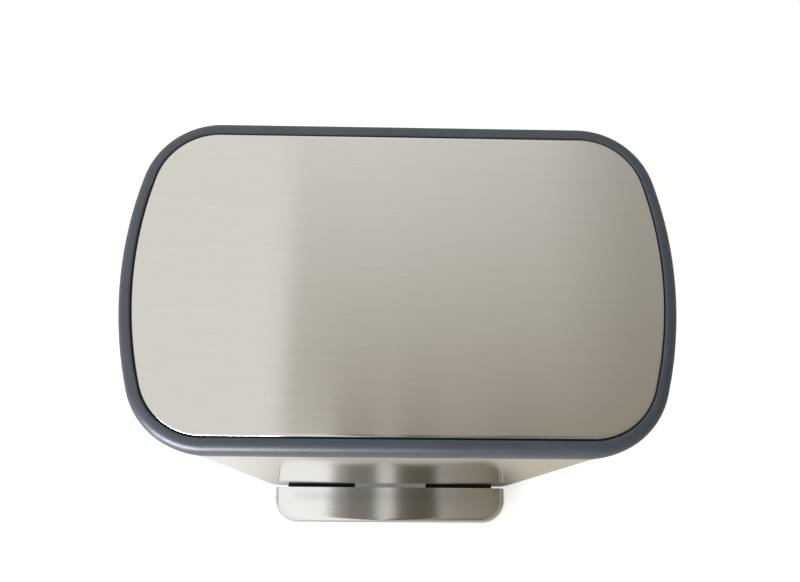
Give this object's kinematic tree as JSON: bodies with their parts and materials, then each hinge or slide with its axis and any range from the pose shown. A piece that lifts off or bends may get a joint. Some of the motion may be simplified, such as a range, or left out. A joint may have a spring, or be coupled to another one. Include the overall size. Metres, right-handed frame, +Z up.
{
  "type": "step-on pedal bin",
  "caption": "Rectangular floor-standing pedal bin: brushed steel body and lid top, blue-grey rim, lift-out bucket, lever and push rod that raise the lid.",
  "frame": {"origin": "on the floor, at the middle of the footprint from the pedal front to the hinge housing back", "axes": "+X to the bin right as seen from behind the front, +Y to the back (hinge side), +Z up"},
  "size_m": [0.425, 0.3228, 0.54],
  "materials": {
    "top_steel": "satin brushed, grain along the width",
    "body_steel": "bright, finely brushed and near mirror at a low angle",
    "pedal_steel": "brushed along the width, bright bend at the edges",
    "rim_plastic": "satin blue-grey moulding",
    "collar_plastic": "satin dark grey moulding",
    "liner_plastic": "fine-textured dark grey moulding",
    "black_plastic": "fine-textured black moulding",
    "arm_plastic": "glass-filled nylon, matt",
    "bucket_plastic": "satin dark grey moulding",
    "nylon": "natural nylon",
    "rubber": "soft matt rubber",
    "screw_steel": "zinc-plated",
    "rod_steel": "bright drawn rod",
    "zinc_steel": "zinc-plated sheet",
    "damper_metal": "drawn tube"
  },
  "bodies": {
    "bin_body": {"outer_shell": "body_steel", "top_collar": "collar_plastic", "base_ring": "black_plastic", "base_floor": "black_plastic", "rubber_feet": "rubber", "base_screws": "screw_steel", "hinge_housing": "black_plastic", "hinge_pin": "rod_steel", "pin_caps": "black_plastic", "housing_screws": "screw_steel", "rod_channel": "zinc_steel", "rod_guide_lower": "nylon", "rod_guide_upper": "nylon", "damper_cylinder": "damper_metal", "damper_clamps": "black_plastic", "axle_bracket_left": "zinc_steel", "axle_bracket_right": "zinc_steel", "axle_bushes": "nylon", "bracket_screws": "screw_steel", "pedal_stops": "rubber"},
    "lid": {"lid_panel": "top_steel", "lid_rim": "rim_plastic", "lid_liner": "liner_plastic", "hinge_arm_left": "arm_plastic", "hinge_arm_right": "arm_plastic", "lift_lever": "arm_plastic", "lid_screws": "screw_steel", "lid_bumpers": "rubber"},
    "pedal": {"pedal_plate": "pedal_steel", "pedal_core": "black_plastic", "pedal_screws": "screw_steel", "pedal_lever": "zinc_steel", "pedal_axle": "rod_steel", "axle_clips": "screw_steel", "lift_pad": "nylon"},
    "push_rod": {"push_rod": "rod_steel", "rod_foot": "nylon", "rod_head": "nylon", "damper_plunger": "rod_steel", "damper_yoke": "zinc_steel"},
    "bucket": {"inner_bucket": "bucket_plastic"}
  },
  "joints": [
    {"name": "lid_hinge", "type": "hinge", "parent": "bin_body", "child": "lid", "pos_m": [0, 0.14895, 0.493], "axis": [-1, 0, 0], "range_deg": [0, 80]},
    {"name": "pedal_hinge", "type": "hinge", "parent": "bin_body", "child": "pedal", "pos_m": [0, -0.02155, 0.021], "axis": [1, 0, 0], "range_deg": [0, 9.5]},
    {"name": "rod_slide", "type": "slide", "parent": "bin_body", "child": "push_rod", "axis": [0, 0, 1], "range_m": [0, 0.02555]},
    {"name": "bucket_lift", "type": "slide", "parent": "bin_body", "child": "bucket", "axis": [0, 0, 1], "range_m": [0, 0.008]}
  ],
  "couplings": [
    {"joint": "pedal_hinge", "follows": "lid_hinge", "ratio": 0.11807},
    {"joint": "rod_slide", "follows": "lid_hinge", "m_per_rad": 0.01823}
  ]
}
